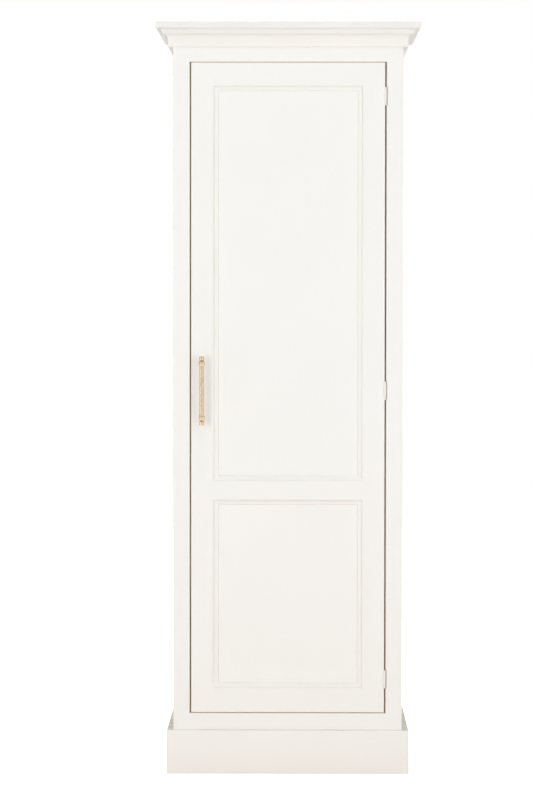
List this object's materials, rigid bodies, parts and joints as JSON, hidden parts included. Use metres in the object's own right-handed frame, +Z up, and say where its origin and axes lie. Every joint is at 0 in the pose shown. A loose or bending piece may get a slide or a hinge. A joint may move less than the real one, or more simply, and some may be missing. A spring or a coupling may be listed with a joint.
{
  "type": "wardrobe",
  "caption": "Tall narrow painted wardrobe with one inset panelled door on butt hinges, a brass bar handle, a stepped crown, a plinth, a hat shelf and a hanging rail.",
  "frame": {"origin": "on the floor, below the middle of the box that holds the whole wardrobe", "axes": "+Z up, +X to the right as seen from the front, the front faces -Y"},
  "size_m": [0.747, 0.61, 2.12],
  "materials": {
    "cream_paint": "satin cream paint on timber",
    "raw_timber": "unpainted softwood",
    "hinge_paint": "steel butt hinge painted over in cream",
    "handle_brass": "satin pale brass",
    "rail_chrome": "bright chrome",
    "screw_steel": "zinc plated",
    "catch_plastic": "white moulded"
  },
  "bodies": {
    "carcass": {"side_panel_left": "cream_paint", "side_panel_right": "cream_paint", "top_board": "cream_paint", "floor_board": "cream_paint", "back_panel": "cream_paint", "wall_rail": "cream_paint", "plinth_back": "raw_timber", "floor_blocks": "raw_timber", "frame_rail_top": "cream_paint", "frame_rail_bottom": "cream_paint", "frame_stile_left": "cream_paint", "frame_stile_right": "cream_paint", "crown_front": "cream_paint", "crown_left": "cream_paint", "crown_right": "cream_paint", "plinth_front": "cream_paint", "plinth_left": "cream_paint", "plinth_right": "cream_paint", "hat_shelf": "cream_paint", "shelf_cleat_back": "cream_paint", "shelf_cleat_left": "cream_paint", "shelf_cleat_right": "cream_paint", "hanging_rail": "rail_chrome", "rail_socket_left": "rail_chrome", "rail_socket_right": "rail_chrome", "door_stop": "cream_paint", "catch_case": "catch_plastic", "catch_magnet": "screw_steel", "side_stops": "raw_timber", "hinge_frame_leaf_top": "hinge_paint", "hinge_frame_leaf_middle": "hinge_paint", "hinge_frame_leaf_bottom": "hinge_paint", "hinge_pins": "hinge_paint", "hinge_frame_screws": "screw_steel", "back_screws": "screw_steel", "inside_screws": "screw_steel", "rail_screws": "screw_steel", "crown_screws": "screw_steel", "plinth_screws": "screw_steel"},
    "door": {"door_stile_lock": "cream_paint", "door_stile_hinge": "cream_paint", "door_rail_top": "cream_paint", "door_rail_middle": "cream_paint", "door_rail_bottom": "cream_paint", "door_panel_lower": "cream_paint", "door_panel_upper": "cream_paint", "moulding_lower": "cream_paint", "moulding_upper": "cream_paint", "hinge_door_leaf_top": "hinge_paint", "hinge_door_leaf_middle": "hinge_paint", "hinge_door_leaf_bottom": "hinge_paint", "hinge_door_screws": "screw_steel", "handle_bar": "handle_brass", "handle_post_upper": "handle_brass", "handle_post_lower": "handle_brass", "handle_cap_upper": "handle_brass", "handle_cap_lower": "handle_brass", "handle_bolts": "screw_steel", "catch_strike": "screw_steel", "strike_screw": "screw_steel"}
  },
  "joints": [
    {"name": "door_swing", "type": "hinge", "parent": "carcass", "child": "door", "pos_m": [0.27405, -0.2589, 1.085], "axis": [0, 0, 1], "range_deg": [0, 180]}
  ]
}
